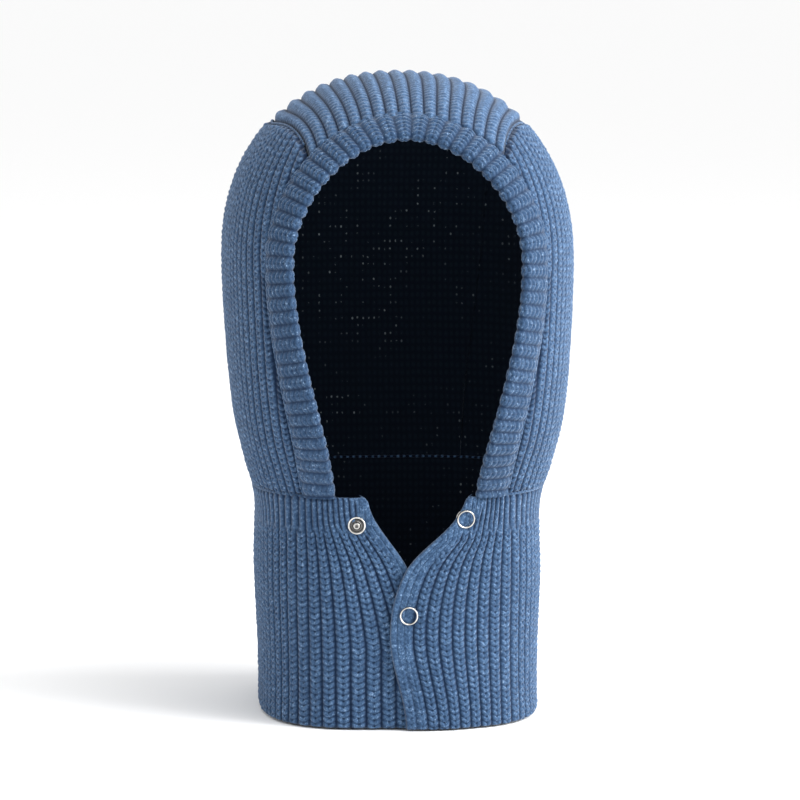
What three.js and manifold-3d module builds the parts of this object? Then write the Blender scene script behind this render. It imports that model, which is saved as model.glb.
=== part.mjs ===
// A knitted balaclava hood with a button-through neck: a ribbed wool shell over a
// fine-knit lining, a folded rib band round the face, and two front flaps that
// overlap and close with snap fasteners. Millimetres, +Z up, the face looks to -Y,
// and the hood stands on the hem of its collar.
import * as THREE from 'three';
import { ParametricGeometry } from 'three/addons/geometries/ParametricGeometry.js';
import { mergeVertices } from 'three/addons/utils/BufferGeometryUtils.js';
import Module from 'manifold-3d';

const wasm = await Module();
wasm.setup();

// Overall sizes.
const hoodHeight = 366;
const hoodWidth = 200;
const hoodBack = 118;
const hoodBrow = 136;
const crownDrop = 108;

// The collar below the neck seam.
const collarHeight = 131;
const collarWidth = 166;
const collarFront = 98;
const collarBack = 83;

// The face opening, seen from the front.
const openingHalfWidth = 64.6;
const openingTop = 333.5;
const openingWidest = 265;
const chinHalfWidth = 39;

// Fabric thicknesses, and the room left between two pieces.
const knitThickness = 2.8;
const liningThickness = 1;
const gap = 0.3;
const bandWidth = 20;
const bandThickness = 6.4;
const bandProud = 1.5;
const seamWidth = 1.2;

// The centre panel over the crown: its half width at the brow, crown and nape.
const gussetBrow = 57;
const gussetCrown = 72;
const gussetNape = 45;

// The front flaps, which fold about upright lines.
const foldHalfSpan = 46;
const flapGap = 0.5;
const overLift = 2.6;
const overEdge = -9;
const underEdge = 16;
const notchDepth = 41;
const liningInset = 3;

// Snap fasteners: how far each sits from the edge it belongs to, and the sizes of
// a pair.
const ringFromFold = 12.5;
const studFromFold = 18.4;
const ringFromNeck = 12;
const studFromNeck = 15.5;
const closedBelowNotch = 25.1;
const closedOffMiddle = -2;
const ringRadius = 5.35;
const ringHole = 3.9;
const ringHeight = 1.4;
const socketRadius = 5.1;
const socketHeight = 1.9;
const studRadius = 1.9;
const studHeight = 1.6;
const baseHeight = 1;
const snapRunning = 0.45;

// Facet counts, and a size past every edge of the hood.
const reach = 400;
const around = 32;
const rowsBelow = 8;
const rowsAbove = 6;

const liningDepth = knitThickness + gap;
const fabricDepth = liningDepth + liningThickness;
const underDrop = fabricDepth + flapGap - overLift;
const panelGap = seamWidth + 2 * gap;
const shoulder = hoodHeight - crownDrop;
const notchHeight = collarHeight - notchDepth;
const openRing = { x: foldHalfSpan - ringFromFold, z: collarHeight - ringFromNeck };
const openStud = { x: studFromFold - foldHalfSpan, z: collarHeight - studFromNeck };
const closedSnap = {
  x: (overEdge + underEdge) / 2 + closedOffMiddle,
  z: notchHeight - closedBelowNotch,
};

const wool = new THREE.MeshStandardMaterial({ color: 0x5a7ba3, roughness: 0.95, metalness: 0 });
const woolBand = new THREE.MeshStandardMaterial({ color: 0x5d7ea8, roughness: 0.95, metalness: 0 });
const thread = new THREE.MeshStandardMaterial({ color: 0x3f6590, roughness: 0.95, metalness: 0 });
const navy = new THREE.MeshStandardMaterial({ color: 0x070d18, roughness: 0.9, metalness: 0 });
const nickel = new THREE.MeshStandardMaterial({ color: 0xc9cacb, roughness: 0.25, metalness: 1 });

const hood = new THREE.Group();

function place(name, geometry, material) {
  const mesh = new THREE.Mesh(geometry, material.clone());
  mesh.name = name;
  hood.add(mesh);
}

// A smooth curve through knots of [where, value], flat at its highest knot.
function through(knots) {
  const slope = knots.map((knot, i) => {
    if (i === 0 || i === knots.length - 1) return 0;
    return (knots[i + 1][1] - knots[i - 1][1]) / (knots[i + 1][0] - knots[i - 1][0]);
  });
  return (where) => {
    const inside = THREE.MathUtils.clamp(where, knots[0][0], knots[knots.length - 1][0]);
    let i = 0;
    while (i < knots.length - 2 && inside > knots[i + 1][0]) i += 1;
    const span = knots[i + 1][0] - knots[i][0];
    const t = (inside - knots[i][0]) / span;
    const start = knots[i][1] * (1 + 2 * t) * (1 - t) ** 2 + knots[i + 1][1] * t * t * (3 - 2 * t);
    return start + span * (slope[i] * t * (1 - t) ** 2 - slope[i + 1] * t * t * (1 - t));
  };
}

// Half width, front reach and back reach of the hood at each height, up to the
// shoulder of the crown. The front reach of the egg runs on ahead of the opening.
const halfWidthBelow = through([
  [0, 0.485 * collarWidth], [0.6 * collarHeight, 0.5 * collarWidth],
  [0.92 * collarHeight, 0.503 * collarWidth], [collarHeight + 12, 0.445 * hoodWidth],
  [collarHeight + 45, 0.473 * hoodWidth], [shoulder, 0.5 * hoodWidth],
]);
const frontBelow = through([
  [0, collarFront], [0.6 * collarHeight, collarFront], [collarHeight, 1.02 * collarFront],
  [collarHeight + 35, 0.88 * hoodBrow], [shoulder - 48, 0.97 * hoodBrow], [shoulder, hoodBrow],
]);
const backBelow = through([
  [0, collarBack], [0.8 * collarHeight, 0.96 * collarBack], [collarHeight, 0.99 * collarBack],
  [collarHeight + 35, 0.84 * hoodBack], [shoulder - 48, 0.96 * hoodBack], [shoulder, hoodBack],
]);
const squareness = through([[0, 3], [collarHeight, 2.9], [shoulder, 2.7], [hoodHeight, 2.4]]);

function crownShare(z) {
  if (z <= shoulder) return 1;
  return Math.max(0, 1 - ((z - shoulder) / crownDrop) ** 2.3) ** (1 / 2.3);
}

function slice(z) {
  const share = crownShare(z);
  const level = Math.min(z, shoulder);
  const front = frontBelow(level) * share;
  const back = backBelow(level) * share;
  return {
    halfWidth: halfWidthBelow(level) * share,
    depth: (front + back) / 2,
    centre: (back - front) / 2,
    power: squareness(z),
  };
}

// The point of the outer surface at an angle round the slice at height z;
// angle 0 is the middle of the face and a quarter turn is the +X side.
function skin(angle, z) {
  const { halfWidth, depth, centre, power } = slice(z);
  const sine = Math.sin(angle);
  const cosine = Math.cos(angle);
  const sum = (Math.abs(sine) / halfWidth) ** power + (Math.abs(cosine) / depth) ** power;
  const radius = sum ** (-1 / power);
  return new THREE.Vector3(radius * sine, centre - radius * cosine, z);
}

// The surface under a point of the front view.
function frontSkin(x, z) {
  const { halfWidth, depth, centre, power } = slice(z);
  const across = Math.min(Math.abs(x) / halfWidth, 0.995);
  return new THREE.Vector3(x, centre - depth * (1 - across ** power) ** (1 / power), z);
}

function normalOf(surface, a, b, stepA, stepB) {
  const along = surface(a + stepA, b).sub(surface(a - stepA, b));
  const up = surface(a, b + stepB).sub(surface(a, b - stepB));
  return along.cross(up).normalize();
}

function frontPoint(x, z, offset) {
  const level = THREE.MathUtils.clamp(z, 1, hoodHeight - 2);
  return frontSkin(x, z).addScaledVector(normalOf(frontSkin, x, level, 0.5, 0.5), offset);
}

// A closed, outward-facing geometry from a surface that closes on itself.
function sealed(pointAt, slices, stacks) {
  const shape = (u, v, target) => target.copy(pointAt(u, v));
  const raw = new ParametricGeometry(shape, slices, stacks);
  raw.deleteAttribute('normal');
  raw.deleteAttribute('uv');
  return faceOut(mergeVertices(raw, 1e-3));
}

function faceOut(geometry) {
  const at = geometry.getAttribute('position');
  const corner = [0, 1, 2].map(() => new THREE.Vector3());
  const kept = [];
  let volume = 0;
  for (let i = 0; i < geometry.index.count; i += 3) {
    const ids = [0, 1, 2].map((k) => geometry.index.getX(i + k));
    if (new Set(ids).size < 3) continue;
    ids.forEach((id, k) => corner[k].fromBufferAttribute(at, id));
    volume += corner[0].dot(corner[1].clone().cross(corner[2]));
    kept.push(ids);
  }
  const wound = volume < 0 ? kept.map((ids) => ids.reverse()) : kept;
  geometry.setIndex(wound.flat());
  return geometry;
}

function toSolid(geometry) {
  const plain = geometry.clone();
  plain.deleteAttribute('normal');
  plain.deleteAttribute('uv');
  const merged = mergeVertices(plain, 1e-4);
  return new wasm.Manifold(new wasm.Mesh({
    numProp: 3,
    vertProperties: new Float32Array(merged.getAttribute('position').array),
    triVerts: new Uint32Array(merged.index.array),
  }));
}

function toGeometry(solid) {
  const { vertProperties, triVerts } = solid.getMesh();
  const geometry = new THREE.BufferGeometry();
  geometry.setAttribute('position', new THREE.BufferAttribute(vertProperties, 3));
  geometry.setIndex(new THREE.BufferAttribute(triVerts, 1));
  return geometry;
}

// The biggest connected body of a solid, which drops slivers left by a cut.
function biggest(solid, wanted = () => true) {
  const bodies = solid.decompose().filter((body) => wanted(body.boundingBox()));
  return bodies.sort((a, b) => b.volume() - a.volume())[0];
}

function block(lowX, highX, lowY, highY, lowZ, highZ) {
  const box = new THREE.BoxGeometry(highX - lowX, highY - lowY, highZ - lowZ);
  box.translate((lowX + highX) / 2, (lowY + highY) / 2, (lowZ + highZ) / 2);
  return toSolid(box);
}

// The whole egg at an offset from the outer surface. Its wall runs straight down
// from the hem to the bottom, so that two eggs with one row spacing stay parallel.
function egg(offset, bottom) {
  const rows = rowsBelow + rowsAbove;
  const heightOf = (row) => {
    if (row <= rowsBelow) return shoulder * (row / rowsBelow);
    return shoulder + crownDrop * Math.sin((Math.PI / 2) * ((row - rowsBelow) / rowsAbove));
  };
  return toSolid(sealed((u, v) => {
    const ring = Math.round(v * (rows + 3)) - 2;
    if (ring < -1) return new THREE.Vector3(0, 0, bottom);
    if (ring > rows) return new THREE.Vector3(0, 0, hoodHeight + offset);
    const angle = u * 2 * Math.PI;
    const z = Math.min(heightOf(Math.max(ring, 0)), hoodHeight - 0.4);
    const level = THREE.MathUtils.clamp(z, 1, hoodHeight - 3);
    const point = skin(angle, z).addScaledVector(normalOf(skin, angle, level, 0.01, 0.5), offset);
    if (ring < 1) point.z = ring < 0 ? bottom : 0;
    return point;
  }, around, rows + 3));
}

// A hollow skin between two offsets, cut off level at its lower edge.
function shell(outerOffset, innerOffset, hem) {
  const hollow = egg(outerOffset, -20).subtract(egg(innerOffset, -40));
  return hollow.intersect(block(-reach, reach, -reach, reach, hem, reach + hoodHeight));
}

// The opening's edge in the front view, from the wearer's right of the chin up
// over the brow and down to the left.
function openingEdge() {
  const start = collarHeight - 6;
  const path = new THREE.Path();
  path.moveTo(-chinHalfWidth, start);
  path.bezierCurveTo(
    -chinHalfWidth - 2, start + 38, -openingHalfWidth, openingWidest - 50,
    -openingHalfWidth, openingWidest,
  );
  const arch = openingTop - openingWidest;
  path.bezierCurveTo(
    -openingHalfWidth, openingWidest + 0.5 * arch, -0.51 * openingHalfWidth, openingTop, 0, openingTop,
  );
  path.bezierCurveTo(
    0.51 * openingHalfWidth, openingTop, openingHalfWidth, openingWidest + 0.5 * arch,
    openingHalfWidth, openingWidest,
  );
  path.bezierCurveTo(
    openingHalfWidth, openingWidest - 50, chinHalfWidth + 2, start + 38, chinHalfWidth, start,
  );
  return path;
}

const edgePath = openingEdge();
const edgeSteps = 40;
const bandWalk = 8;

// How the surface runs round and up at a point, for small steps over it.
function slopes(angle, z) {
  const step = 0.004;
  const round = skin(angle + step, z).sub(skin(angle - step, z)).divideScalar(2 * step);
  const up = skin(angle, z + 0.2).sub(skin(angle, z - 0.2)).divideScalar(0.4);
  return { round, up, normal: round.clone().cross(up).normalize() };
}

// A point of the band: share of the way round, distance from the opening's edge
// walked over the surface square to that edge, and offset from the surface.
function bandPoint(share, distance, offset) {
  const reachShare = (s) => edgePath.getPointAt(THREE.MathUtils.clamp(s, 0, 1));
  const at = reachShare(share);
  const ahead = reachShare(share + 0.004);
  const behind = reachShare(share - 0.004);
  const along = frontSkin(ahead.x, ahead.y).sub(frontSkin(behind.x, behind.y)).normalize();
  let z = at.y;
  let angle = Math.atan2(at.x, slice(z).centre - frontSkin(at.x, z).y);
  for (let i = 0; i < bandWalk; i += 1) {
    const { round, up, normal } = slopes(angle, z);
    const outward = normal.cross(along).multiplyScalar(distance / bandWalk);
    const across = round.dot(up);
    const det = round.dot(round) * up.dot(up) - across * across;
    angle += (outward.dot(round) * up.dot(up) - outward.dot(up) * across) / det;
    z += (outward.dot(up) * round.dot(round) - outward.dot(round) * across) / det;
  }
  return skin(angle, z).addScaledVector(slopes(angle, z).normal, offset);
}

// A strip that follows the opening's edge. The section is a list of
// [distance, offset] corners in order.
function bandStrip(section) {
  const corners = section.length;
  return sealed((u, v) => {
    const row = Math.round(v * (edgeSteps + 2));
    const share = THREE.MathUtils.clamp((row - 1) / edgeSteps, 0, 1);
    if (row === 0 || row === edgeSteps + 2) {
      const middle = section.reduce((sum, [d, o]) => [sum[0] + d / corners, sum[1] + o / corners], [0, 0]);
      return bandPoint(share, middle[0], middle[1]);
    }
    const [distance, offset] = section[Math.round(u * corners) % corners];
    return bandPoint(share, distance, offset);
  }, corners, edgeSteps + 2);
}

// The folded band's section: a round nose at the opening and a flat root.
function bandSection(grow, root) {
  const radius = bandThickness / 2 + grow;
  const middle = bandProud - bandThickness / 2;
  const nose = [0, 1, 2, 3, 4].map((i) => {
    const turn = Math.PI / 2 + (i * Math.PI) / 4;
    return [bandThickness / 2 + radius * Math.cos(turn), middle + radius * Math.sin(turn)];
  });
  return [[root, middle + radius], ...nose, [root, middle - radius]];
}

const faceCut = toSolid(bandStrip(bandSection(gap, bandWidth + panelGap)));
const aboveNeck = collarHeight + panelGap / 2;
const belowNeck = collarHeight - panelGap / 2;

// The opening itself, run forward from the middle of the hood.
function openingPrism() {
  const outline = new THREE.Shape();
  for (let i = 0; i <= edgeSteps; i += 1) {
    const share = i / edgeSteps;
    const at = edgePath.getPointAt(share);
    const tangent = edgePath.getTangentAt(share);
    const grown = at.addScaledVector(new THREE.Vector2(-tangent.y, tangent.x), 2);
    if (i === 0) outline.moveTo(grown.x, grown.y);
    else outline.lineTo(grown.x, grown.y);
  }
  const prism = new THREE.ExtrudeGeometry(outline, { depth: 200, bevelEnabled: false });
  prism.rotateX(Math.PI / 2);
  return toSolid(prism);
}

const opening = openingPrism().add(faceCut);

// The centre panel's fan, from the brow over the crown to the nape, seen from a
// point inside the head. Its half width follows the angle of that fan.
const fanHeight = 0.63 * hoodHeight;
const fanHalfWidth = through([
  [20, 0.88 * gussetBrow], [47, gussetBrow], [75, gussetCrown], [100, gussetCrown],
  [140, 0.89 * gussetCrown], [175, 0.5 * (gussetCrown + gussetNape)], [229, gussetNape],
  [255, gussetNape],
]);

function fan(grow) {
  const fromAngle = 20;
  const toAngle = 255;
  const rows = 16;
  return toSolid(sealed((u, v) => {
    const row = Math.round(v * (rows + 2));
    const degrees = fromAngle + (toAngle - fromAngle) * THREE.MathUtils.clamp((row - 1) / rows, 0, 1);
    const turn = THREE.MathUtils.degToRad(degrees);
    const half = fanHalfWidth(degrees) + grow;
    const ended = row === 0 || row === rows + 2;
    const [x, r] = ended ? [0, 130] : [[-half, 20], [half, 20], [half, 260], [-half, 260]][Math.round(u * 4) % 4];
    return new THREE.Vector3(x, -r * Math.cos(turn), fanHeight + r * Math.sin(turn));
  }, 4, rows + 2));
}

const upper = block(-reach, reach, -reach, reach, aboveNeck, reach + hoodHeight);
const lower = block(-reach, reach, -reach, reach, -50, belowNeck);
const seamHalf = seamWidth / 2;
const neckBand = block(-reach, reach, -reach, reach, collarHeight - seamHalf, collarHeight + seamHalf);
const narrowFan = fan(-panelGap / 2);
const wideFan = fan(panelGap / 2);
const seamFan = fan(seamHalf).subtract(fan(-seamHalf));
const frontRoom = block(
  -foldHalfSpan - gap / 2, foldHalfSpan + gap / 2, -reach, 0, -50, collarHeight + panelGap,
);

const onPlusX = (box) => box.min[0] > 0;
const onMinusX = (box) => box.max[0] < 0;

// Splits a shell into the centre panel, two side panels and the collar.
function cutPanels(skinShell, names, material) {
  const cap = skinShell.intersect(upper).subtract(opening);
  place(names.crown, toGeometry(biggest(cap.intersect(narrowFan))), material);
  const sides = cap.subtract(wideFan);
  place(names.left, toGeometry(biggest(sides, onPlusX)), material);
  place(names.right, toGeometry(biggest(sides, onMinusX)), material);
  const collar = skinShell.intersect(lower).subtract(frontRoom);
  place(names.collar, toGeometry(biggest(collar)), material);
}

// The linked seams that lie between the panel edges.
function cutSeams(seamShell, names, material) {
  const clearOfFace = seamShell.subtract(opening);
  const long = clearOfFace.intersect(upper).intersect(seamFan);
  place(names.left, toGeometry(biggest(long, onPlusX)), material);
  place(names.right, toGeometry(biggest(long, onMinusX)), material);
  const ring = clearOfFace.intersect(neckBand).subtract(frontRoom);
  place(names.neck, toGeometry(biggest(ring)), material);
}

function faceBand() {
  const roll = toSolid(bandStrip(bandSection(0, bandWidth)));
  place('face_band', toGeometry(biggest(roll.intersect(upper))), woolBand);
  const rootStart = bandWidth + gap;
  const depth = [-0.4, gap - knitThickness];
  const strip = toSolid(bandStrip([
    [rootStart, depth[0]], [rootStart + seamWidth, depth[0]],
    [rootStart + seamWidth, depth[1]], [rootStart, depth[1]],
  ]));
  place('band_seam', toGeometry(biggest(strip.intersect(upper))), thread);
}

// The free edge of each flap at a height: upright near the hem, slanting back to
// the wearer's side above the notch.
const overEdgeAt = through([
  [0, 0], [0.4 * collarHeight, overEdge], [notchHeight, 0], [belowNeck, 0.72 * foldHalfSpan],
]);
const underEdgeAt = through([
  [0, underEdge], [0.5 * notchHeight, underEdge], [notchHeight, 0.1 * underEdge],
  [belowNeck, -0.46 * foldHalfSpan],
]);

const smooth = THREE.MathUtils.smoothstep;
const overOffset = (x) => overLift * (1 - smooth(x, underEdge + 1, foldHalfSpan));
const underOffset = (x) => -underDrop * smooth(x, -foldHalfSpan, overEdge - 1);

// One layer of a flap: from its fold line to its free edge, hem to neck seam.
function flapLayer(side, outerDepth, innerDepth, inset, bottom) {
  const edgeAt = side > 0 ? overEdgeAt : underEdgeAt;
  const liftAt = side > 0 ? overOffset : underOffset;
  const columns = 8;
  const rows = 9;
  const loop = 2 * (columns + 1);
  const flapPoint = (across, z, depth) => {
    const fold = side * (foldHalfSpan - gap / 2);
    const x = THREE.MathUtils.lerp(fold, edgeAt(z) + side * inset, across);
    return frontPoint(x, z, liftAt(x) - depth);
  };
  return toSolid(sealed((u, v) => {
    const row = Math.round(v * (rows + 2));
    const z = bottom + (belowNeck - bottom) * THREE.MathUtils.clamp((row - 1) / rows, 0, 1);
    const index = Math.round(u * loop) % loop;
    const onOuter = index <= columns;
    const across = (onOuter ? index : loop - 1 - index) / columns;
    const ended = row === 0 || row === rows + 2;
    const depth = ended ? (outerDepth + innerDepth) / 2 : onOuter ? outerDepth : innerDepth;
    const point = flapPoint(across, z, depth);
    point.z = z;
    return point;
  }, loop, rows + 2));
}

// A turned shape on a snap's axis. Heights run outward from the fabric's face.
function turned(profile, sides = 14) {
  const points = profile.map(([r, h]) => new THREE.Vector2(r, h));
  const lathe = new THREE.LatheGeometry(points, sides);
  lathe.deleteAttribute('normal');
  lathe.deleteAttribute('uv');
  return faceOut(mergeVertices(lathe, 1e-4));
}

function onAxis(geometry, at, offset) {
  const foot = frontPoint(at.x, at.z, offset);
  const out = normalOf(frontSkin, at.x, at.z, 0.5, 0.5);
  const turn = new THREE.Quaternion().setFromUnitVectors(new THREE.Vector3(0, 1, 0), out);
  geometry.applyQuaternion(turn);
  geometry.translate(foot.x, foot.y, foot.z);
  return geometry;
}

const tube = (inner, outer, low, high) => [
  [inner, low], [outer, low], [outer, high], [inner, high], [inner, low],
];
const disc = (outer, low, high) => [[0, low], [outer, low], [outer, high], [0, high]];

// A rounded open ring, as the prong ring of a snap shows.
function ringProfile(low, high) {
  const middle = (low + high) / 2;
  const halfTall = (high - low) / 2;
  const centre = (ringRadius + ringHole) / 2;
  const half = (ringRadius - ringHole) / 2;
  const points = [];
  for (let i = 0; i <= 6; i += 1) {
    const turn = (i * Math.PI) / 3;
    points.push([centre + half * Math.cos(turn), middle + halfTall * Math.sin(turn)]);
  }
  return points;
}

// Depths of the two halves of a snap below the outer face of their flap.
const ringLow = -ringHeight + 0.5;
const socketHigh = -(fabricDepth - socketHeight) - 0.1;
const socketLow = socketHigh - socketHeight;
const backHigh = -fabricDepth + liningThickness - gap - 0.1;

function overHoles(at) {
  const lift = overOffset(at.x);
  const ringSeat = tube(ringHole - gap, ringRadius + gap, ringLow - gap, 3);
  const socketSeat = disc(socketRadius + gap, -fabricDepth - 3, socketHigh + gap);
  return [ringSeat, socketSeat].map((profile) => toSolid(onAxis(turned(profile), at, lift)));
}

function underHoles(at) {
  const drop = underOffset(at.x);
  const baseSeat = disc(socketRadius + gap, -baseHeight - gap, 3);
  const backSeat = tube(ringHole - gap, ringRadius + gap, -fabricDepth - 3, backHigh + gap);
  return [baseSeat, backSeat].map((profile) => toSolid(onAxis(turned(profile), at, drop)));
}

function snapFemale(name, at) {
  const lift = overOffset(at.x);
  place(`${name}_ring`, onAxis(turned(ringProfile(ringLow, ringLow + ringHeight)), at, lift), nickel);
  const bore = studRadius + snapRunning;
  const socket = [
    [0, socketHigh], [0, socketHigh - 0.3], [bore, socketHigh - 0.3], [bore, socketLow],
    [socketRadius - 0.5, socketLow], [socketRadius, socketLow + 0.5], [socketRadius, socketHigh],
    [0, socketHigh],
  ];
  place(`${name}_socket`, onAxis(turned(socket), at, lift), nickel);
}

function snapMale(name, at) {
  const drop = underOffset(at.x);
  const stud = [
    [0, -baseHeight], [socketRadius, -baseHeight], [socketRadius, -0.3], [socketRadius - 0.6, 0],
    [studRadius, 0], [studRadius, studHeight - 0.5], [studRadius - 0.5, studHeight], [0, studHeight],
  ];
  place(`${name}_stud`, onAxis(turned(stud), at, drop), nickel);
  const back = ringProfile(backHigh - ringHeight, backHigh);
  place(`${name}_back_ring`, onAxis(turned(back), at, drop), nickel);
}

function punched(solid, holes) {
  return toGeometry(biggest(holes.reduce((left, hole) => left.subtract(hole), solid)));
}

function flaps() {
  const overPunches = [closedSnap, openRing].flatMap(overHoles);
  const underPunches = [closedSnap, openStud].flatMap(underHoles);
  place('over_flap', punched(flapLayer(1, 0, knitThickness, 0, 0), overPunches), wool);
  place('under_flap', punched(flapLayer(-1, 0, knitThickness, 0, 0), underPunches), wool);
  const overLining = flapLayer(1, liningDepth, fabricDepth, liningInset, liningInset);
  place('over_flap_lining', punched(overLining, overPunches), navy);
  const underLining = flapLayer(-1, liningDepth, fabricDepth, liningInset, liningInset);
  place('under_flap_lining', punched(underLining, underPunches), navy);
}

cutPanels(shell(0, -knitThickness, 0), {
  crown: 'crown_panel', left: 'side_panel_left', right: 'side_panel_right', collar: 'neck_collar',
}, wool);
cutPanels(shell(-liningDepth, -fabricDepth, liningInset), {
  crown: 'lining_crown', left: 'lining_side_left', right: 'lining_side_right', collar: 'lining_collar',
}, navy);
cutSeams(shell(-0.4, gap - knitThickness, 0), {
  left: 'crown_seam_left', right: 'crown_seam_right', neck: 'neck_seam',
}, thread);
cutSeams(shell(-liningDepth - 0.1, 0.1 - fabricDepth, 0), {
  left: 'lining_seam_left', right: 'lining_seam_right', neck: 'lining_neck_seam',
}, navy);
faceBand();
flaps();
snapFemale('lower_snap', closedSnap);
snapMale('lower_snap', closedSnap);
snapFemale('upper_snap', openRing);
snapMale('upper_snap', openStud);

// The hood stands centred on its hem.
const bounds = new THREE.Box3().setFromObject(hood);
const middle = bounds.getCenter(new THREE.Vector3());
hood.position.set(-middle.x, -middle.y, -bounds.min.z);
hood.updateMatrixWorld(true);

export default hood;
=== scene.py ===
# A knitted balaclava hood: ribbed wool over a fine navy lining, a folded rib band
# round the face, and an overlapping front closed with ring snaps. Metres, +Z up.
import math

import bmesh
import bpy
import numpy as np
from mathutils import Matrix, Vector


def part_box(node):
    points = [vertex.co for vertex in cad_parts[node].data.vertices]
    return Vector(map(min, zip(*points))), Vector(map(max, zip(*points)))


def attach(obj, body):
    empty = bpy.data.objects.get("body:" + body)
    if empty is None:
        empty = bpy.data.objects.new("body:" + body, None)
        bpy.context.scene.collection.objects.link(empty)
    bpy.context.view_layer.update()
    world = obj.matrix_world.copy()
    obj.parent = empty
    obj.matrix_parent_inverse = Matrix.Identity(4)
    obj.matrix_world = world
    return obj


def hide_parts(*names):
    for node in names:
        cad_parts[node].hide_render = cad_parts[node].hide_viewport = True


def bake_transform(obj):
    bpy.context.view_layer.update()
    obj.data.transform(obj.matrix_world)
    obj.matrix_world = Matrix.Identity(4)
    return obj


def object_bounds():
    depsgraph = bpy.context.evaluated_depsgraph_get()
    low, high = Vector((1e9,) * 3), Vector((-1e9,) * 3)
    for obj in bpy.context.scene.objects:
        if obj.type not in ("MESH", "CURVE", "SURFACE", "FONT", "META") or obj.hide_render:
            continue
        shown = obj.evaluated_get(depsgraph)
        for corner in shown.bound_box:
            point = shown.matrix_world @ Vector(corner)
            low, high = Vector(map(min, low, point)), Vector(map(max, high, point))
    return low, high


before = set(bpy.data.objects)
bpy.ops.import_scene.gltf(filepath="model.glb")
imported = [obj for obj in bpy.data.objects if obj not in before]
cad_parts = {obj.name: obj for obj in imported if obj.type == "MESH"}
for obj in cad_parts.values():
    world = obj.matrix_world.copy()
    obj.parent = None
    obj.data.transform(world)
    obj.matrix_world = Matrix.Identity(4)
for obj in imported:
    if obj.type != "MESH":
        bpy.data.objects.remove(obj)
cadLow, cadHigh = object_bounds()
mm = 0.001

# The hood's surface, from the same driving sizes as the CAD model.
hood = {
    "height": cadHigh.z,
    "halfWidth": cadHigh.x,
    "back": 118 * mm,
    "brow": 136 * mm,
    "crownDrop": 108 * mm,
    "neck": 131 * mm,
    "collarHalf": 83 * mm,
    "collarFront": 98 * mm,
    "collarBack": 83 * mm,
    "openHalf": 64.6 * mm,
    "openTop": 333.5 * mm,
    "openWidest": 265 * mm,
    "chinHalf": 39 * mm,
    "bandWidth": 20 * mm,
    "foldX": 46 * mm,
}
hood["shift"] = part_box("crown_panel")[1].y - hood["back"]
shoulder = hood["height"] - hood["crownDrop"]


# A smooth curve through (where, value) knots, level at both ends.
def through(knots):
    at = np.array([k[0] for k in knots])
    value = np.array([k[1] for k in knots])
    slope = np.zeros(len(at))
    slope[1:-1] = (value[2:] - value[:-2]) / (at[2:] - at[:-2])

    def curve(where):
        w = np.clip(where, at[0], at[-1])
        i = np.clip(np.searchsorted(at, w, side="right") - 1, 0, len(at) - 2)
        span = at[i + 1] - at[i]
        t = (w - at[i]) / span
        level = value[i] * (1 + 2 * t) * (1 - t) ** 2 + value[i + 1] * t * t * (3 - 2 * t)
        return level + span * (slope[i] * t * (1 - t) ** 2 - slope[i + 1] * t * t * (1 - t))

    return curve


neck = hood["neck"]
wide = 2 * hood["halfWidth"]
halfWidthBelow = through([
    (0, 0.97 * hood["collarHalf"]), (0.6 * neck, hood["collarHalf"]),
    (0.92 * neck, 1.006 * hood["collarHalf"]), (neck + 12 * mm, 0.445 * wide),
    (neck + 45 * mm, 0.473 * wide), (shoulder, 0.5 * wide),
])
frontBelow = through([
    (0, hood["collarFront"]), (0.6 * neck, hood["collarFront"]), (neck, 1.02 * hood["collarFront"]),
    (neck + 35 * mm, 0.88 * hood["brow"]), (shoulder - 48 * mm, 0.97 * hood["brow"]),
    (shoulder, hood["brow"]),
])
backBelow = through([
    (0, hood["collarBack"]), (0.8 * neck, 0.96 * hood["collarBack"]), (neck, 0.99 * hood["collarBack"]),
    (neck + 35 * mm, 0.84 * hood["back"]), (shoulder - 48 * mm, 0.96 * hood["back"]),
    (shoulder, hood["back"]),
])
squareness = through([(0, 3), (neck, 2.9), (shoulder, 2.7), (hood["height"], 2.4)])


# Half width, half depth, centre and squareness of the level slice at z.
def sliceAt(z):
    rise = np.clip((z - shoulder) / hood["crownDrop"], 0, 1)
    share = np.maximum(1 - rise ** 2.3, 0) ** (1 / 2.3)
    level = np.minimum(z, shoulder)
    front = frontBelow(level) * share
    back = backBelow(level) * share
    depth = np.maximum((front + back) / 2, 1e-6)
    half = np.maximum(halfWidthBelow(level) * share, 1e-6)
    return half, depth, (back - front) / 2 + hood["shift"], squareness(z)


def skin(angle, z):
    half, depth, centre, power = sliceAt(z)
    sine, cosine = np.sin(angle), np.cos(angle)
    reach = ((np.abs(sine) / half) ** power + (np.abs(cosine) / depth) ** power) ** (-1 / power)
    return np.stack([reach * sine, centre - reach * cosine, z + 0 * angle], axis=-1)


def slopes(angle, z):
    turn, rise = 0.004, 0.2 * mm
    roundWay = (skin(angle + turn, z) - skin(angle - turn, z)) / (2 * turn)
    up = (skin(angle, z + rise) - skin(angle, z - rise)) / (2 * rise)
    normal = np.cross(roundWay, up)
    return roundWay, up, normal / np.maximum(np.linalg.norm(normal, axis=-1, keepdims=True), 1e-12)


def onSkin(angle, z, offset):
    level = np.minimum(z, hood["height"] - 1.5 * mm)
    normal = slopes(angle, level)[2]
    return skin(angle, np.minimum(z, hood["height"] - 1e-7)) + normal * np.asarray(offset)[..., None]


# The angle round the slice of the front point at x.
def frontAngle(x, z):
    half, depth, _, power = sliceAt(z)
    across = np.minimum(np.abs(x) / half, 0.995)
    return np.arctan2(x, depth * (1 - across ** power) ** (1 / power))


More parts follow.
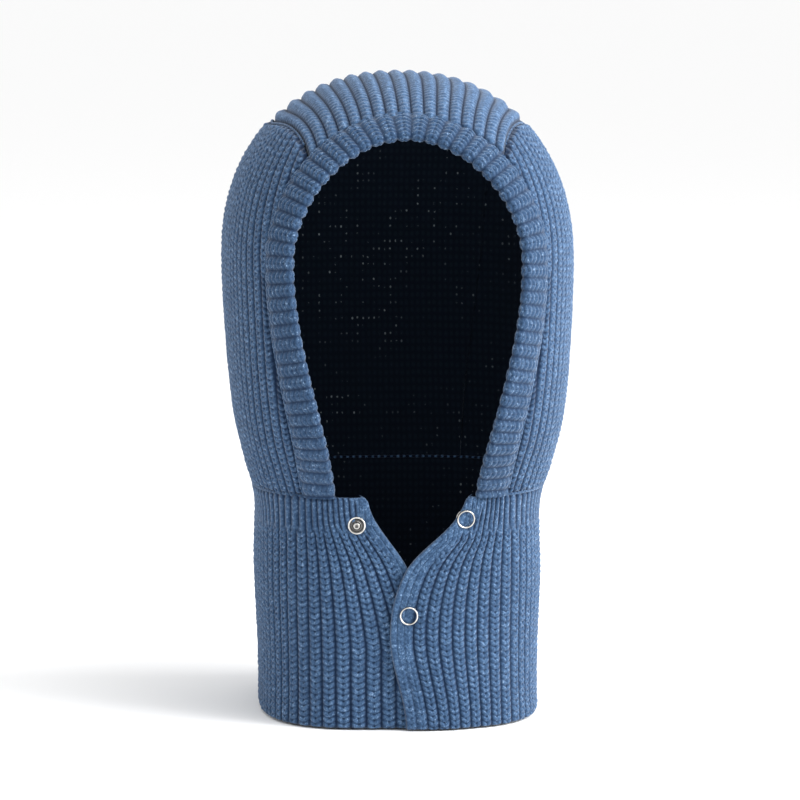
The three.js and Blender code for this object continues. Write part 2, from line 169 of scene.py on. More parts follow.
def bezier(a, b, c, d, count=80):
    t = np.linspace(0, 1, count)[:, None]
    points = [np.array(p) for p in (a, b, c, d)]
    weights = ((1 - t) ** 3, 3 * t * (1 - t) ** 2, 3 * t * t * (1 - t), t ** 3)
    return sum(w * p for w, p in zip(weights, points))


# The opening's edge in the front view, from the right of the chin over the brow.
def openingOutline():
    start = neck - 6 * mm
    arch = hood["openTop"] - hood["openWidest"]
    chin, half, widest, top = hood["chinHalf"], hood["openHalf"], hood["openWidest"], hood["openTop"]
    side = bezier(
        (-chin, start), (-chin - 2 * mm, start + 38 * mm), (-half, widest - 50 * mm), (-half, widest),
    )
    brow = bezier((-half, widest), (-half, widest + arch / 2), (-0.51 * half, top), (0, top))
    left = np.concatenate([side[:-1], brow])
    right = left[::-1][1:] * np.array([-1, 1])
    return np.concatenate([left, right])


outline = openingOutline()
outlineRun = np.concatenate([[0], np.cumsum(np.linalg.norm(np.diff(outline, axis=0), axis=1))])


def outlineAt(share):
    run = np.clip(share, 0, 1) * outlineRun[-1]
    return np.interp(run, outlineRun, outline[:, 0]), np.interp(run, outlineRun, outline[:, 1])


# Angle and height of the point at a distance from the opening's edge, over the surface.
def bandWalk(share, distance):
    x, z = outlineAt(share)
    angle = frontAngle(x, z)
    ax, az = outlineAt(share + 0.004)
    bx, bz = outlineAt(share - 0.004)
    along = skin(frontAngle(ax, az), az) - skin(frontAngle(bx, bz), bz)
    along /= np.linalg.norm(along, axis=-1, keepdims=True)
    for _ in range(8):
        roundWay, up, normal = slopes(angle, z)
        out = np.cross(normal, along) * (distance / 8)[..., None]
        rr, uu, ru = (roundWay ** 2).sum(-1), (up ** 2).sum(-1), (roundWay * up).sum(-1)
        outR, outU = (out * roundWay).sum(-1), (out * up).sum(-1)
        det = rr * uu - ru * ru
        angle = angle + (outR * uu - outU * ru) / det
        z = z + (outU * rr - outR * ru) / det
    return angle, z


# The centre panel's half width round its fan, from the brow over to the nape.
fanHeight = 0.63 * hood["height"]
gusset = {"brow": 57 * mm, "crown": 72 * mm, "nape": 45 * mm}
fanHalf = through([
    (20, 0.88 * gusset["brow"]), (47, gusset["brow"]), (75, gusset["crown"]), (100, gusset["crown"]),
    (140, 0.89 * gusset["crown"]), (175, (gusset["crown"] + gusset["nape"]) / 2), (229, gusset["nape"]),
    (255, gusset["nape"]),
])


def fanDegrees(y, z):
    return np.degrees(np.arctan2(z - fanHeight, hood["shift"] - y)) % 360


# Angle and height where a ray of the centre panel's fan meets the surface.
def fanPoint(x, degrees):
    turn = np.radians(degrees)
    low, high = np.full_like(x, 10 * mm), np.full_like(x, 220 * mm)
    for _ in range(30):
        reach = (low + high) / 2
        y = hood["shift"] - reach * np.cos(turn)
        z = fanHeight + reach * np.sin(turn)
        half, depth, centre, power = sliceAt(z)
        inside = (np.abs(x) / half) ** power + (np.abs(y - centre) / depth) ** power < 1
        inside &= z < hood["height"]
        low, high = np.where(inside, reach, low), np.where(inside, high, reach)
    return np.arctan2(x, centre - y), z


print("surface ready")

# A repeatable value from 0 to 1 for a pair of whole numbers.
def hashed(i, j, seed):
    wave = np.sin(i * 127.1 + j * 311.7 + seed * 74.7) * 43758.5453
    return wave - np.floor(wave)


# Height from 0 to 1 of ribs of V stitches: across the ribs, and along them.
def chainRib(across, along, pitch, row, seed, fullness=0):
    a = across / pitch
    rib = np.floor(a)
    f = a - rib - 0.5
    lean = hashed(rib, rib * 0, seed)
    t = along / row + lean - 1.2 * np.abs(f)
    stitch = np.floor(t)
    leg = np.abs(np.sin(math.pi * t)) ** 0.8
    swell = 0.88 + 0.3 * (hashed(rib, stitch, seed + 1) - 0.5)
    arch = 1 - np.abs(2 * f) ** (2.4 + fullness)
    dip = 0.3 * np.exp(-(f / 0.09) ** 2)
    return np.clip(arch * (0.3 + 0.7 * leg * swell) - dip * arch, 0, 1)


# Height of plain rounded ribs with fine stitches, as on the crown and band.
def smoothRib(across, along, pitch, row, seed):
    a = across / pitch
    rib = np.floor(a)
    f = a - rib - 0.5
    t = along / row + hashed(rib, rib * 0, seed) - 0.8 * np.abs(f)
    leg = np.abs(np.sin(math.pi * t)) ** 0.8
    strand = np.abs(np.sin(math.pi * (2 * f + 0.5))) ** 0.6
    arch = np.cos(math.pi * f) ** 0.75
    return np.clip(arch * (0.56 + 0.32 * leg + 0.12 * strand), 0, 1)


# Slow waves of a soft fabric, in metres.
def softness(points):
    x, y, z = points[..., 0], points[..., 1], points[..., 2]
    wave = np.sin(31 * x + 17 * z + 0.6) + np.sin(23 * y - 29 * z + 1.9) + 0.7 * np.sin(57 * z + 41 * x)
    return 0.55 * mm * wave


def smooth(a, b, x):
    t = np.clip((x - a) / (b - a), 0, 1)
    return t * t * (3 - 2 * t)


# Any node: its type, its settings, which are set first, and the values or links of its sockets.
def addNode(tree, kind, settings, sockets, output=0):
    node = tree.nodes.new(kind)
    for name, value in settings.items():
        setattr(node, name, value)
    for key, value in sockets.items():
        socket = node.inputs[key]
        if isinstance(value, Shade):
            tree.links.new(value.socket, socket)
        else:
            socket.default_value = (*value, 1) if socket.type == "RGBA" else value
    return Shade(tree, node.outputs[output])


# A node socket that adds, subtracts, multiplies and mixes like a number.
class Shade:
    def __init__(self, tree, socket):
        self.tree = tree
        self.socket = socket

    def math(self, kind, first, second):
        return addNode(self.tree, "ShaderNodeMath", {"operation": kind}, {0: first, 1: second})

    def __add__(self, other):
        return self.math("ADD", self, other)

    def __radd__(self, other):
        return self.math("ADD", other, self)

    def __sub__(self, other):
        return self.math("SUBTRACT", self, other)

    def __rsub__(self, other):
        return self.math("SUBTRACT", other, self)

    def __mul__(self, other):
        return self.math("MULTIPLY", self, other)

    def __rmul__(self, other):
        return self.math("MULTIPLY", other, self)

    # 0 below low, 1 above high, and smooth in between.
    def span(self, low, high):
        return addNode(
            self.tree, "ShaderNodeMapRange", {"interpolation_type": "SMOOTHSTEP"},
            {"Value": self, "From Min": low, "From Max": high}, "Result",
        )

    # The first colour where this is 0 and the second where it is 1.
    def blend(self, dark, light):
        return addNode(
            self.tree, "ShaderNodeMix", {"data_type": "RGBA"}, {"Factor": self, 6: dark, 7: light}, 2,
        )

    def feed(self, shader, name):
        self.tree.links.new(self.socket, shader.inputs[name])


def newMaterial(name, **constants):
    material = bpy.data.materials.new(name)
    material.use_nodes = True
    shader = material.node_tree.nodes["Principled BSDF"]
    for key, value in constants.items():
        shader.inputs[key.replace("_", " ")].default_value = value
    return material, shader


def coordinates(tree, stretch=(1, 1, 1)):
    where = addNode(tree, "ShaderNodeTexCoord", {}, {}, "Object")
    return addNode(tree, "ShaderNodeMapping", {}, {"Scale": stretch, "Vector": where}, "Vector")


def noise(tree, scale, detail=3, rough=0.55, stretch=(1, 1, 1)):
    return addNode(
        tree, "ShaderNodeTexNoise", {},
        {"Scale": scale, "Detail": detail, "Roughness": rough, "Vector": coordinates(tree, stretch)}, "Fac",
    )


# The height that each mesh carries, 0 in a pit and 1 on top of a stitch; the materials paint shade where it
# is low.
def meshRelief(tree):
    return addNode(tree, "ShaderNodeAttribute", {"attribute_name": "relief"}, {}, "Fac")


def bump(tree, shader, height, distance, strength):
    normal = addNode(
        tree, "ShaderNodeBump", {}, {"Distance": distance, "Strength": strength, "Height": height}, "Normal",
    )
    normal.feed(shader, "Normal")


wool = {
    "pitShade": (0.003, 0.011, 0.034),
    "dark": (0.017, 0.043, 0.098),
    "light": (0.086, 0.166, 0.298),
    "fleck": (0.22, 0.33, 0.50),
    "mottleScale": 420,
    "fibreScale": 2100,
    "patchScale": 26,
    "rough": 0.86,
    "fuzz": 0.55 * mm,
}


# Melange wool: mottled strands, painted shade in the pits between stitches and the dips beside seams, a soft
# halo.
def woolMaterial(name, lift=1.0):
    material, shader = newMaterial(
        name, Sheen_Weight=0.35, Sheen_Roughness=0.45, Specular_IOR_Level=0.12,
        Sheen_Tint=(0.75, 0.85, 1.0, 1.0),
    )
    tree = material.node_tree
    height = meshRelief(tree)
    mottle = noise(tree, wool["mottleScale"], 4, 0.7)
    fibre = noise(tree, wool["fibreScale"], 2, 0.6, (1, 1, 0.45))
    patch = noise(tree, wool["patchScale"], 2)
    tone = mottle.span(0.34, 0.68) * 0.6 + fibre.span(0.3, 0.72) * 0.4
    light = tuple(min(c * lift, 1) for c in wool["light"])
    strand = tone.blend(wool["dark"], light)
    flecked = (fibre * mottle).span(0.31, 0.42).blend(strand, wool["fleck"])
    # Painted shade: the colour turns to the dark pit colour where the mesh's relief tone is low.
    shaded = height.span(0.03, 0.74).blend(wool["pitShade"], flecked)
    worn = (patch.span(0.3, 0.7) * 0.16).blend(shaded, wool["dark"])
    worn.feed(shader, "Base Color")
    rough = wool["rough"] + fibre * (1 - wool["rough"])
    rough.feed(shader, "Roughness")
    bump(tree, shader, fibre * 0.55 + mottle * 0.45, wool["fuzz"], 0.75)
    return material


liningYarn = {
    "base": (0.009, 0.016, 0.030),
    "strand": (0.014, 0.024, 0.042),
    "pinholeLight": (0.40, 0.48, 0.52),
    "cellScale": 300,
    "cellStretch": (1, 0, 0.72),
    "depth": 0.3 * mm,
}


# Fine near-black knit with sparse pale dots in rows, painted light that shows through its pinholes.
def liningMaterial():
    material, shader = newMaterial("liningKnit", Sheen_Weight=0.05, Specular_IOR_Level=0.08)
    tree = material.node_tree
    where = coordinates(tree, liningYarn["cellStretch"])
    distance = addNode(
        tree, "ShaderNodeTexVoronoi", {},
        {"Scale": liningYarn["cellScale"], "Randomness": 0.12, "Vector": where}, "Distance",
    )
    chance = noise(tree, 150, 2, 0.8)
    area = noise(tree, 13, 1)
    # Painted light: pale dots where light comes through the knit's pinholes.
    dot = (1 - distance.span(0.08, 0.22)) * chance.span(0.56, 0.63) * area.span(0.42, 0.62)
    strand = distance.span(0.1, 0.5).blend(liningYarn["strand"], liningYarn["base"])
    dot.blend(strand, liningYarn["pinholeLight"]).feed(shader, "Base Color")
    rough = 0.88 + distance * 0.1
    rough.feed(shader, "Roughness")
    bump(tree, shader, 1 - distance, liningYarn["depth"], 0.8)
    return material


plating = {
    "dull": (0.42, 0.41, 0.39),
    "bright": (0.78, 0.77, 0.75),
    "paintedShade": (0.05, 0.05, 0.05),
    "wearScale": 900,
    "smudgeScale": 180,
}


# Bright nickel plate with fine wear and dull, slightly warm patches; painted shade darkens its low spots and
# the sides of its ring wires.
def nickelMaterial():
    material, shader = newMaterial("snapNickel", Metallic=1.0)
    tree = material.node_tree
    wear = noise(tree, plating["wearScale"], 3)
    smudge = noise(tree, plating["smudgeScale"], 2)
    plate = smudge.span(0.35, 0.7).blend(plating["dull"], plating["bright"])
    # Painted shade: where the snap's brightness is low the plate turns near black.
    meshRelief(tree).blend(plating["paintedShade"], plate).feed(shader, "Base Color")
    rough = 0.14 + wear.span(0.4, 0.8) * 0.16
    rough.feed(shader, "Roughness")
    bump(tree, shader, wear, 0.03 * mm, 0.4)
    return material


knitBlue = woolMaterial("knitWool")
bandBlue = woolMaterial("bandWool", 0.64)
navyKnit = liningMaterial()
seamLightDots = woolMaterial("liningSeamLightDots", 2.6)
# Painted light: the lining's neck seam carries pale dots where light comes through its holes.
nickel = nickelMaterial()
print("materials ready")

# A level grid of quads, with each corner's place across and up it from 0 to 1.
def flatGrid(across, up):
    made = bmesh.new()
    bmesh.ops.create_grid(made, x_segments=across, y_segments=up, size=0.5)
    return made, np.array([vert.co[:2] for vert in made.verts]) + 0.5


def movePoints(made, points, relief):
    layer = made.verts.layers.float.new("relief")
    for vert, point, high in zip(made.verts, points.tolist(), relief.tolist()):
        vert.co = point
        vert[layer] = high


def makePiece(made, name, material):
    for face in made.faces:
        face.smooth = True
    mesh = bpy.data.meshes.new(name)
    made.to_mesh(mesh)
    made.free()
    mesh.materials.append(material)
    piece = bpy.data.objects.new(name, mesh)
    bpy.context.scene.collection.objects.link(piece)
    return piece


# A grid laid on the hood by shape(u, v), which gives points, relief and what to keep.
def gridSheet(name, across, up, shape, material):
    made, flat = flatGrid(across, up)
    points, relief, keep = shape(flat[:, 0], flat[:, 1])
    movePoints(made, points, relief)
    made.verts.ensure_lookup_table()
    gone = [made.verts[i] for i in np.flatnonzero(~keep)]
    bmesh.ops.delete(made, geom=gone, context="VERTS")
    bmesh.ops.remove_doubles(made, verts=made.verts, dist=0.02 * mm)
    piece = makePiece(made, name, material)
    print(name, len(piece.data.polygons))
    return piece


def flipFaces(piece):
    made = bmesh.new()
    made.from_mesh(piece.data)
    bmesh.ops.reverse_faces(made, faces=made.faces)
    made.to_mesh(piece.data)
    made.free()


# The knit's ribs, rows of stitches and relief, shared by the panels and the collar.
knit = {
    "detail": 0.62 * mm,
    "sideRib": 5.9 * mm,
    "collarRib": 6.15 * mm,
    "row": 3.3 * mm,
    "relief": 1.9 * mm,
    "crownRelief": 2.6 * mm,
    "sink": 1.5 * mm,
    "smoothZone": 20 * mm,
    "backRibs": 33.5,
}
underBand = 4 * mm  # how far the panels run in under the band
rootShare = np.linspace(0, 1, 301)
rootAngle, rootHeight = bandWalk(rootShare, np.full(len(rootShare), hood["bandWidth"] - underBand))
leftHalf = rootShare >= 0.5
rootAt = (rootHeight[leftHalf][::-1], rootAngle[leftHalf][::-1])


def fromFront(angle):
    return np.abs((angle + math.pi) % (2 * math.pi) - math.pi)


# How far round a point lies beyond the band's root, as an angle.
def pastBand(angle, z):
    limit = np.interp(z, rootAt[0], rootAt[1], right=-1)
    return fromFront(angle) - limit


rootFront = skin(rootAngle, rootHeight)
nearBrow = leftHalf & (rootHeight > 0.7 * hood["height"])
browAt = (rootFront[nearBrow][:, 0], rootHeight[nearBrow])


# Roughly how far over the surface a point lies from the band's root.
def besideBand(angle, z, point):
    overBrow = z - np.interp(np.abs(point[:, 0]), browAt[0], browAt[1], right=0)
    return np.maximum(pastBand(angle, z) * 90 * mm, overBrow * (z > browAt[1][-1])) - underBand


# How far the fabric dips beside a seam.
def seamValley(distance, reach=3.2 * mm, depth=2.2 * mm):
    return -depth * (1 - smooth(0, reach, distance)) ** 1.3


def neckValley(distance):
    return seamValley(distance, 3 * mm, 0.8 * mm)


# Painted shade: pits between stitches and the dips beside seams get a low tone, and show dark.
def reliefTone(relief, valley):
    return np.clip(relief + valley / (3 * mm), 0, 1)


def bandValley(angle, z, point):
    return seamValley(besideBand(angle, z, point), 4 * mm, 1.5 * mm)


# Each side panel is drawn as two parts, between two angles from the front.
sidePanel = {
    "Front": {"from": 0.42, "to": 1.62, "width": 120 * mm},
    "Back": {"from": 1.58, "to": 2.92, "width": 134 * mm},
    "height": 214 * mm,
    "radius": 92 * mm,
    "wander": 1.1 * mm,
}


def sideShape(side, part):
    start, stop = sidePanel[part]["from"], sidePanel[part]["to"]

    def shape(u, v):
        angle = start + (stop - start) * u
        z = neck - 0.5 * mm + sidePanel["height"] * v
        point = skin(angle, z)
        across = angle * sidePanel["radius"] + sidePanel["wander"] * np.sin(z * 38)
        seam = np.abs(point[:, 0]) - fanHalf(fanDegrees(point[:, 1], z))
        relief = chainRib(across * 1.06, z, knit["sideRib"], knit["row"], 3 + side)
        valley = seamValley(seam) + neckValley(z - neck) + bandValley(angle, z, point)
        offset = relief * knit["relief"] - knit["sink"] + valley + softness(point)
        keep = (pastBand(angle, z) > 0) & (seam > -0.4 * mm)
        points = onSkin(angle, z, offset)
        if side < 0:
            points[:, 0] *= -1
        return points, reliefTone(relief, valley), keep

    return shape


def sidePanels():
    for side, word in ((1, "left"), (-1, "right")):
        for part in ("Front", "Back"):
            across = int(sidePanel[part]["width"] / knit["detail"])
            up = int(sidePanel["height"] / knit["detail"])
            name = f"sidePanel{word.title()}{part}"
            piece = gridSheet(name, across, up, sideShape(side, part), knitBlue)
            if side < 0:
                flipFaces(piece)
            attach(piece, "hood")
            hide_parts(f"side_panel_{word}")


# The crown panel is drawn as four lengths, between degrees round its fan.
crown = {"cuts": (36, 85, 135, 185, 234), "ribs": 17, "acrossRib": 12, "perDegree": 2.15 * mm}


def crownShape(start, stop):
    def shape(u, v):
        degrees = start + (stop - start) * v
        reach = fanHalf(degrees) + 0.4 * mm
        x = (2 * u - 1) * reach
        angle, z = fanPoint(x, degrees)
        point = skin(angle, z)
        relief = smoothRib(u * crown["ribs"], degrees * crown["perDegree"], 1, knit["row"], 7)
        seam = reach - np.abs(x)
        valley = seamValley(seam, 5 * mm) + np.where(degrees > 200, neckValley(z - neck), 0)
        valley += np.where(degrees < 90, bandValley(angle, z, point), 0)
        offset = relief * knit["crownRelief"] - 1.3 * knit["sink"] + valley + softness(point)
        keep = (pastBand(angle, z) > 0) | (degrees > 90)
        keep &= z > neck - 0.5 * mm
        return onSkin(angle, z, offset), reliefTone(relief, valley), keep

    return shape


def crownPanel():
    across = crown["ribs"] * crown["acrossRib"]
    for number, (start, stop) in enumerate(zip(crown["cuts"], crown["cuts"][1:])):
        up = int((stop - start) * crown["perDegree"] / knit["detail"])
        piece = gridSheet(f"crownPanel{number + 1}", across, up, crownShape(start, stop), knitBlue)
        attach(piece, "hood")
        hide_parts("crown_panel")


# The flaps' lifts, edges, turned rims and borders of finer stitches.
flap = {
    "start": 64 * mm,
    "overLift": 2.6 * mm,
    "underDrop": 2.0 * mm,
    "overEdge": -9 * mm,
    "underEdge": 16 * mm,
    "notch": 41 * mm,
    "rim": 1.7 * mm,
    "corner": 4 * mm,
    "border": {1: 12 * mm, -1: 7 * mm},
    "grid": (136, 225),
    "foldReach": 5 * mm,
    "foldPlace": (-0.093, 0.065),
}
notchHeight = neck - flap["notch"]
overEdge = through([
    (0, 0), (0.4 * neck, flap["overEdge"]), (notchHeight, 0), (neck - 0.9 * mm, 0.72 * hood["foldX"]),
])
underEdge = through([
    (0, flap["underEdge"]), (0.5 * notchHeight, flap["underEdge"]), (notchHeight, 0.1 * flap["underEdge"]),
    (neck - 0.9 * mm, -0.46 * hood["foldX"]),
])
# Across and up to each snap, with the wearer's left positive.
closedSnap = (1.5 * mm, 64.9 * mm)
openRing = (33.5 * mm, 119 * mm)
openStud = (-27.6 * mm, 115.5 * mm)


# Chunky chain ribs, with a zone of narrow smooth ribs under the neck seam.
def collarRelief(across, z, seed):
    chunky = chainRib(across, z, knit["collarRib"], knit["row"], seed, 0.3)
    narrow = smoothRib(across, z, knit["collarRib"] * 0.75, knit["row"] * 0.9, seed + 5)
    top = smooth(neck - knit["smoothZone"] - 5 * mm, neck - knit["smoothZone"] + 3 * mm, z)
    return chunky * (1 - top) + 0.72 * narrow * top


# Heights from the lining's edge round the hem and up to the neck.
def hemRoll(v, height):
    rim = 1.6 * mm
    wrap = math.pi * rim
    run = v * (height + wrap) - wrap
    turn = np.clip(-run / rim, 0, math.pi)
    z = np.where(run < 0, rim * (1 - np.sin(turn)), rim + run)
    return np.minimum(z, height), np.where(run < 0, -rim * (1 - np.cos(turn)), 0), run


def collarShape(u, v):
    z, sunk, run = hemRoll(v, neck)
    start = frontAngle(np.full_like(u, flap["start"]), z)
    angle = start + (2 * math.pi - 2 * start) * u
    point = skin(angle, z)
    aside = np.minimum(u, 1 - u) * 2
    relief = collarRelief(flap["start"] + aside * knit["backRibs"] * knit["collarRib"], run, 11)
    valley = neckValley(neck - z)
    offset = relief * knit["relief"] - knit["sink"] + valley + softness(point) + sunk
    return onSkin(angle, z, offset), reliefTone(relief, valley), u > -1


def collarPart(low, high):
    def shape(u, v):
        return collarShape(low + (high - low) * u, v)

    return shape


# The free edge, mirrored to the left for both flaps, with its rounded top corner.
def flapEdge(side, z):
    edge = overEdge(z) if side > 0 else -underEdge(z)
    corner = np.clip((z - neck) / flap["corner"] + 1, 0, 1)
    return edge + flap["corner"] * (1 - np.sqrt(1 - corner ** 2))


# How far a flap stands off the hood's surface.
def flapLift(side, x):
    if side > 0:
        return flap["overLift"] * (1 - smooth(flap["underEdge"] + mm, hood["foldX"], x))
    return -flap["underDrop"] * (1 - smooth(9 * mm, hood["foldX"], x))


# A front flap from the collar to its free edge, where it turns under.
def flapShape(side):
    snaps = (closedSnap, openRing if side > 0 else openStud)

    def shape(u, v):
        z, sunk, run = hemRoll(v, neck)
        rim = flap["rim"]
        edge = flapEdge(side, z)
        reach = flap["start"] - edge + math.pi * rim
        back = u * reach
        turned = np.clip((back - (flap["start"] - edge)) / rim + math.pi / 2, 0, math.pi)
        straight = np.minimum(back, flap["start"] - edge - math.pi / 2 * rim)
        x = flap["start"] - straight
        x = np.where(turned > 0, edge + rim - rim * np.sin(turned), x)
        inward = -rim * (1 - np.cos(turned))
        fromEdge = np.maximum(x - edge, 0)
        follow = 1 - smooth(0, 1, fromEdge / (flap["start"] - mm - edge))
        across = x - np.clip(edge, -16 * mm, 16 * mm) * follow
        relief = collarRelief(across, run, 11)
        fine = 0.34 + 0.6 * chainRib(across, run, 3.7 * mm, 2.6 * mm, 31, 0.6)
        border = 1 - smooth(flap["border"][side] - 2 * mm, flap["border"][side] + mm, fromEdge)
        border *= 0.35 + 0.65 * smooth(22 * mm, 56 * mm, z)
        relief = relief + (fine - relief) * border
        press = np.ones_like(x)
        for snapX, snapZ in snaps:
            away = np.hypot(side * x - snapX, z - snapZ)
            press *= 1 - 0.75 * (1 - smooth(4.5 * mm, 9 * mm, away))
        angle = frontAngle(x, z)
        place = skin(angle, z) * np.array([side, 1, 1])
        valley = neckValley(neck - z) * smooth(34 * mm, 44 * mm, x)
        top = np.clip((z - neck) / rim + 1, 0, 1)
        over = -rim * (1 - np.sqrt(1 - top ** 2)) * (1 - smooth(44 * mm, 54 * mm, x))
        offset = flapLift(side, x) + relief * press * knit["relief"] - knit["sink"] + valley
        points = onSkin(angle, z, offset + softness(place) + sunk + inward + over)
        points[:, 0] *= side
        return points, reliefTone(relief, valley), u > -1

    return shape


def collar():
    across = int(2 * math.pi * 0.8 * 89 * mm / 3 / knit["detail"])
    up = int(135 * mm / knit["detail"])
    for number in range(3):
        part = collarPart(number / 3, (number + 1) / 3)
        piece = gridSheet(f"neckCollar{number + 1}", across, up, part, knitBlue)
        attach(piece, "hood")
        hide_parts("neck_collar")


# Bakes the piece's placement into its mesh; the cloth is not bent at the fold.
def bendAtFold(piece):
    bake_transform(piece)


def flaps():
    for side, word in ((1, "over"), (-1, "under")):
        piece = gridSheet(f"{word}Flap", *flap["grid"], flapShape(side), knitBlue)
        if side > 0:
            flipFaces(piece)
        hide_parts(f"{word}_flap")
        bendAtFold(piece)


# The band's length round the opening, its ribs and its folded section.
band = {
    "length": 512 * mm,
    "rib": 7.6 * mm,
    "row": 3.0 * mm,
    "thick": 6.4 * mm,
    "proud": 1.5 * mm,
    "relief": 1.9 * mm,
    "grid": (612, 76),
}


def bandShape(low, high):
    def shape(u, v):
        share = low + (high - low) * u
        radius = band["thick"] / 2
        flat = hood["bandWidth"] - radius
        path = v * (2 * flat + math.pi * radius)
        turn = np.clip((path - flat) / radius, 0, math.pi)
        turned = flat + math.pi * radius
        distance = np.where(path < flat, hood["bandWidth"] - path, radius - radius * np.sin(turn))
        distance = np.where(path > turned, path - turned + radius, distance)
        depth = band["proud"] - radius * (1 - np.cos(turn))
        angle, z = bandWalk(share, distance)
        run = share * band["length"]
        relief = chainRib(run, path, band["rib"], band["row"], 23, -0.7)
        calm = 1 - 0.45 * smooth(0.12, 0.3, np.abs(share - 0.5))
        outward = band["relief"] * relief * calm - 0.8 * mm
        roundBack = 1.2 * mm * (1 - smooth(0, 6 * mm, path)) ** 1.5
        point = skin(angle, z)
        normal = slopes(angle, z)[2]
        inwardAngle, inwardZ = bandWalk(share, distance * 0 + radius)
        core = skin(inwardAngle, inwardZ) + slopes(inwardAngle, inwardZ)[2] * (band["proud"] - radius)
        surface = point + normal * depth[:, None]
        noseWay = surface - core
        noseWay /= np.maximum(np.linalg.norm(noseWay, axis=-1, keepdims=True), 1e-9)
        sides = np.where((turn > 0) & (turn < math.pi), 1.0, 0.0)[:, None]
        flatWay = np.where((turn >= math.pi)[:, None], -normal, normal)
        way = noseWay * sides + flatWay * (1 - sides)
        points = surface + way * (outward - roundBack)[:, None]
        # The tone follows the ribs' relief, so the band's pits take painted shade.
        return points, 0.2 + 0.8 * relief, z > neck - 0.3 * mm

    return shape


def faceBand():
    for number in range(2):
        part = bandShape(number / 2, (number + 1) / 2)
        piece = gridSheet(f"faceBand{number + 1}", *band["grid"], part, bandBlue)
        flipFaces(piece)
        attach(piece, "hood")
        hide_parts("face_band")


# How deep the lining hangs inside the hood and its flaps, where it starts, and its grids.
lining = {
    "depth": 4.1 * mm,
    "flapDepth": 3.6 * mm,
    "hem": 1.2 * mm,
    "edge": 2.2 * mm,
    "root": 58 * mm,
    "grid": (220, 200),
    "flapGrid": (60, 120),
}


def liningShape(u, v):
    angle = 2 * math.pi * u
    z = lining["hem"] + (hood["height"] - lining["hem"]) * np.sin(v * math.pi / 2) ** 0.9
    point = skin(angle, z)
    keep = np.where(z > neck, pastBand(angle, z) > -0.03, fromFront(angle) > 0.5)
    keep &= ~((z > neck) & (point[:, 1] < 0) & (np.abs(point[:, 0]) < 30 * mm) & (z < hood["openTop"]))
    points = onSkin(angle, z, 0 * u - lining["depth"])
    pole = v > 0.999
    points[pole] = (0, sliceAt(hood["height"])[2], hood["height"] - lining["depth"])
    return points, 0 * u + 0.5, keep


def flapLiningShape(side):
    def shape(u, v):
        z = lining["hem"] + (neck - mm - lining["hem"]) * v
        edge = flapEdge(side, z) + lining["edge"]
        x = lining["root"] + (edge - lining["root"]) * u
        points = onSkin(frontAngle(x, z), z, flapLift(side, x) - lining["flapDepth"])
        points[:, 0] *= side
        return points, 0 * u + 0.5, u > -1

    return shape


def liningPieces():
    piece = gridSheet("hoodLining", *lining["grid"], liningShape, navyKnit)
    flipFaces(piece)
    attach(piece, "hood")
    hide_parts("lining_crown", "lining_side_left", "lining_side_right", "lining_collar")
    for side, word in ((1, "over"), (-1, "under")):
        piece = gridSheet(f"{word}FlapLining", *lining["flapGrid"], flapLiningShape(side), navyKnit)
        if side < 0:
            flipFaces(piece)
        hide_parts(f"{word}_flap_lining")
        bendAtFold(piece)


# A round yarn along a path, its stitches swelling and thinning with painted shade where it thins, or showing
# beads of painted light.
def tube(name, path, radius, material, lightBeads):
    made, flat = flatGrid(len(path) - 1, 8)
    index = np.rint(flat[:, 0] * (len(path) - 1)).astype(int)
    tangent = np.gradient(path, axis=0)
    tangent /= np.linalg.norm(tangent, axis=1, keepdims=True)
    side = np.cross(tangent, path - np.array([0, 0, fanHeight]))
    side /= np.linalg.norm(side, axis=1, keepdims=True)
    up = np.cross(side, tangent)
    turn = flat[:, 1] * 2 * math.pi
    swell = radius * (0.72 + 0.28 * np.abs(np.sin(index * 0.55)))
    ring = side[index] * np.cos(turn)[:, None] + up[index] * np.sin(turn)[:, None]
    # Painted light in pale beads, or a painted shade that deepens where the yarn thins.
    high = np.abs(np.sin(index * 0.42)) ** 5 if lightBeads else 0.6 * swell / radius
    movePoints(made, path[index] + ring * swell[:, None], high)
    bmesh.ops.remove_doubles(made, verts=made.verts, dist=1e-6)
    bmesh.ops.holes_fill(made, edges=[e for e in made.edges if e.is_boundary], sides=0)
    bmesh.ops.recalc_face_normals(made, faces=made.faces)
    return makePiece(made, name, material)


def seam(name, node, path, radius, material, slot, lightBeads=False):
    piece = tube(name, path, radius, material, lightBeads)
    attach(piece, "hood")
    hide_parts(node)


# Each seam's yarn radius and its depth under the hood's surface.
yarn = {
    "crown": (0.8 * mm, 2.3 * mm),
    "lining": (0.8 * mm, 4.5 * mm),
    "neck": (0.9 * mm, 2.0 * mm),
    "liningNeck": (0.8 * mm, 4.6 * mm),
    "band": (0.9 * mm, 1.4 * mm),
    "bandGap": 0.6 * mm,
    "neckStart": 0.62,
}


